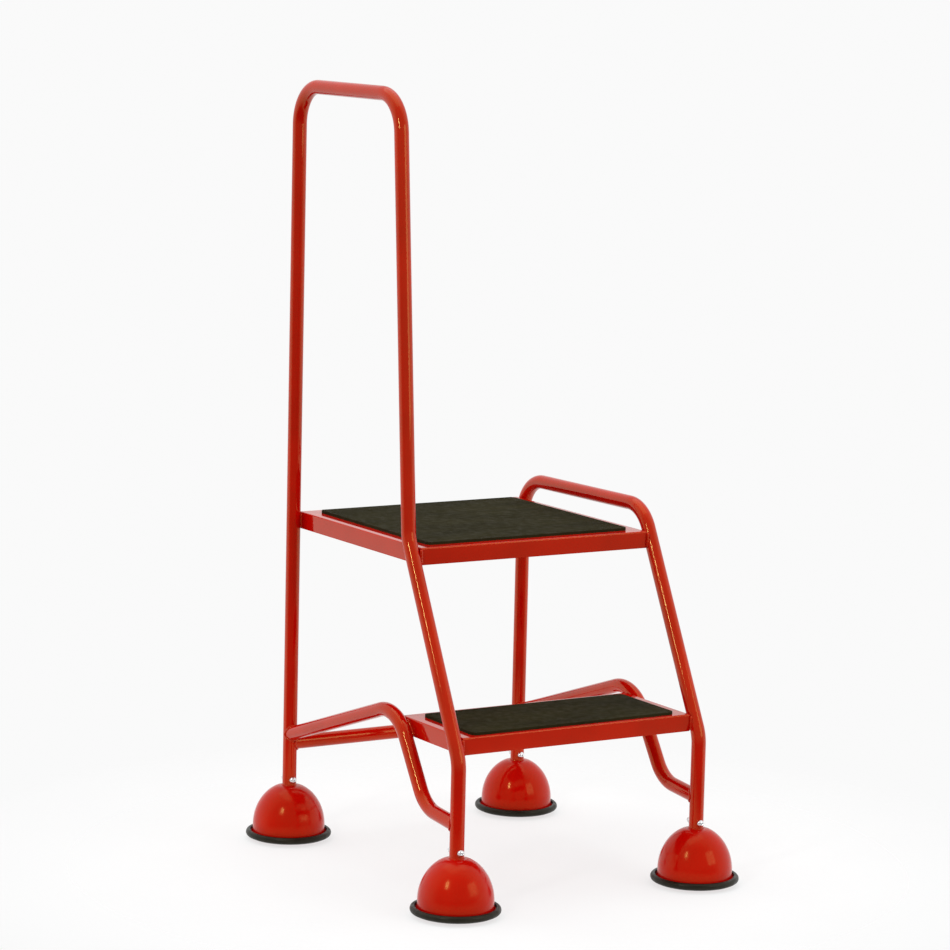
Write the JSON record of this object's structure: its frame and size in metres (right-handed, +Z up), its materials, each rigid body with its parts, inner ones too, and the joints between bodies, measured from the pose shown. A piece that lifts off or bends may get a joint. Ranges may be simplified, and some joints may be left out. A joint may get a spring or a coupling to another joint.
{
  "type": "mobile two-tread step",
  "caption": "Two-tread mobile step with a tall loop handrail, bent tube side frames, ribbed rubber treads and domed feet hiding sprung swivel castors.",
  "frame": {"origin": "on the floor, midway between the four legs, with the castors extended and the step unloaded", "axes": "+Z up; +X from the tall handrail side to the low rail side, as seen facing the front; +Y from the low front tread to the rear of the platform"},
  "size_m": [0.538, 0.63, 1.1552],
  "materials": {
    "red_enamel": "gloss",
    "mat_rubber": "matt",
    "ring_rubber": "satin",
    "castor_tyre": "matt",
    "nylon": "satin",
    "spring_steel": "satin",
    "turned_steel": "satin",
    "zinc_plate": "bright"
  },
  "bodies": {
    "frame": {"handrail_frame_tube": "red_enamel", "low_rail_frame_tube": "red_enamel", "left_brace_tube": "red_enamel", "right_brace_tube": "red_enamel", "rear_crossbar": "red_enamel", "platform_tray": "red_enamel", "platform_stiffener": "red_enamel", "platform_mat": "mat_rubber", "step_tray": "red_enamel", "step_stiffener": "red_enamel", "step_mat": "mat_rubber", "dome_front_left": "red_enamel", "floor_ring_front_left": "ring_rubber", "foot_spring_front_left": "spring_steel", "dome_front_right": "red_enamel", "floor_ring_front_right": "ring_rubber", "foot_spring_front_right": "spring_steel", "dome_rear_left": "red_enamel", "floor_ring_rear_left": "ring_rubber", "foot_spring_rear_left": "spring_steel", "dome_rear_right": "red_enamel", "floor_ring_rear_right": "ring_rubber", "foot_spring_rear_right": "spring_steel", "guide_bushes": "nylon", "spring_plugs": "zinc_plate", "foot_bolts": "zinc_plate", "foot_nuts": "zinc_plate"},
    "stem_front_left": {"castor_stem_front_left": "turned_steel", "castor_clip_front_left": "zinc_plate"},
    "fork_front_left": {"castor_fork_front_left": "zinc_plate", "castor_axle_front_left": "zinc_plate"},
    "wheel_front_left": {"wheel_hub_front_left": "nylon", "wheel_tyre_front_left": "castor_tyre"},
    "stem_front_right": {"castor_stem_front_right": "turned_steel", "castor_clip_front_right": "zinc_plate"},
    "fork_front_right": {"castor_fork_front_right": "zinc_plate", "castor_axle_front_right": "zinc_plate"},
    "wheel_front_right": {"wheel_hub_front_right": "nylon", "wheel_tyre_front_right": "castor_tyre"},
    "stem_rear_left": {"castor_stem_rear_left": "turned_steel", "castor_clip_rear_left": "zinc_plate"},
    "fork_rear_left": {"castor_fork_rear_left": "zinc_plate", "castor_axle_rear_left": "zinc_plate"},
    "wheel_rear_left": {"wheel_hub_rear_left": "nylon", "wheel_tyre_rear_left": "castor_tyre"},
    "stem_rear_right": {"castor_stem_rear_right": "turned_steel", "castor_clip_rear_right": "zinc_plate"},
    "fork_rear_right": {"castor_fork_rear_right": "zinc_plate", "castor_axle_rear_right": "zinc_plate"},
    "wheel_rear_right": {"wheel_hub_rear_right": "nylon", "wheel_tyre_rear_right": "castor_tyre"}
  },
  "joints": [
    {"name": "retract_front_left", "type": "slide", "parent": "frame", "child": "stem_front_left", "axis": [0, 0, 1], "range_m": [0, 0.005], "stiffness_N_per_m": 3000, "springref_m": -0.02, "deforming": ["foot_spring_front_left"]},
    {"name": "swivel_front_left", "type": "hinge", "parent": "stem_front_left", "child": "fork_front_left", "pos_m": [-0.204, -0.25, 0.04], "axis": [0, 0, 1], "continuous": true},
    {"name": "roll_front_left", "type": "hinge", "parent": "fork_front_left", "child": "wheel_front_left", "pos_m": [-0.204, -0.233, 0.018], "axis": [1, 0, 0], "continuous": true},
    {"name": "retract_front_right", "type": "slide", "parent": "frame", "child": "stem_front_right", "axis": [0, 0, 1], "range_m": [0, 0.005], "stiffness_N_per_m": 3000, "springref_m": -0.02, "deforming": ["foot_spring_front_right"]},
    {"name": "swivel_front_right", "type": "hinge", "parent": "stem_front_right", "child": "fork_front_right", "pos_m": [0.204, -0.25, 0.04], "axis": [0, 0, 1], "continuous": true},
    {"name": "roll_front_right", "type": "hinge", "parent": "fork_front_right", "child": "wheel_front_right", "pos_m": [0.204, -0.233, 0.018], "axis": [1, 0, 0], "continuous": true},
    {"name": "retract_rear_left", "type": "slide", "parent": "frame", "child": "stem_rear_left", "axis": [0, 0, 1], "range_m": [0, 0.005], "stiffness_N_per_m": 3000, "springref_m": -0.02, "deforming": ["foot_spring_rear_left"]},
    {"name": "swivel_rear_left", "type": "hinge", "parent": "stem_rear_left", "child": "fork_rear_left", "pos_m": [-0.204, 0.25, 0.04], "axis": [0, 0, 1], "continuous": true},
    {"name": "roll_rear_left", "type": "hinge", "parent": "fork_rear_left", "child": "wheel_rear_left", "pos_m": [-0.204, 0.267, 0.018], "axis": [1, 0, 0], "continuous": true},
    {"name": "retract_rear_right", "type": "slide", "parent": "frame", "child": "stem_rear_right", "axis": [0, 0, 1], "range_m": [0, 0.005], "stiffness_N_per_m": 3000, "springref_m": -0.02, "deforming": ["foot_spring_rear_right"]},
    {"name": "swivel_rear_right", "type": "hinge", "parent": "stem_rear_right", "child": "fork_rear_right", "pos_m": [0.204, 0.25, 0.04], "axis": [0, 0, 1], "continuous": true},
    {"name": "roll_rear_right", "type": "hinge", "parent": "fork_rear_right", "child": "wheel_rear_right", "pos_m": [0.204, 0.267, 0.018], "axis": [1, 0, 0], "continuous": true}
  ]
}
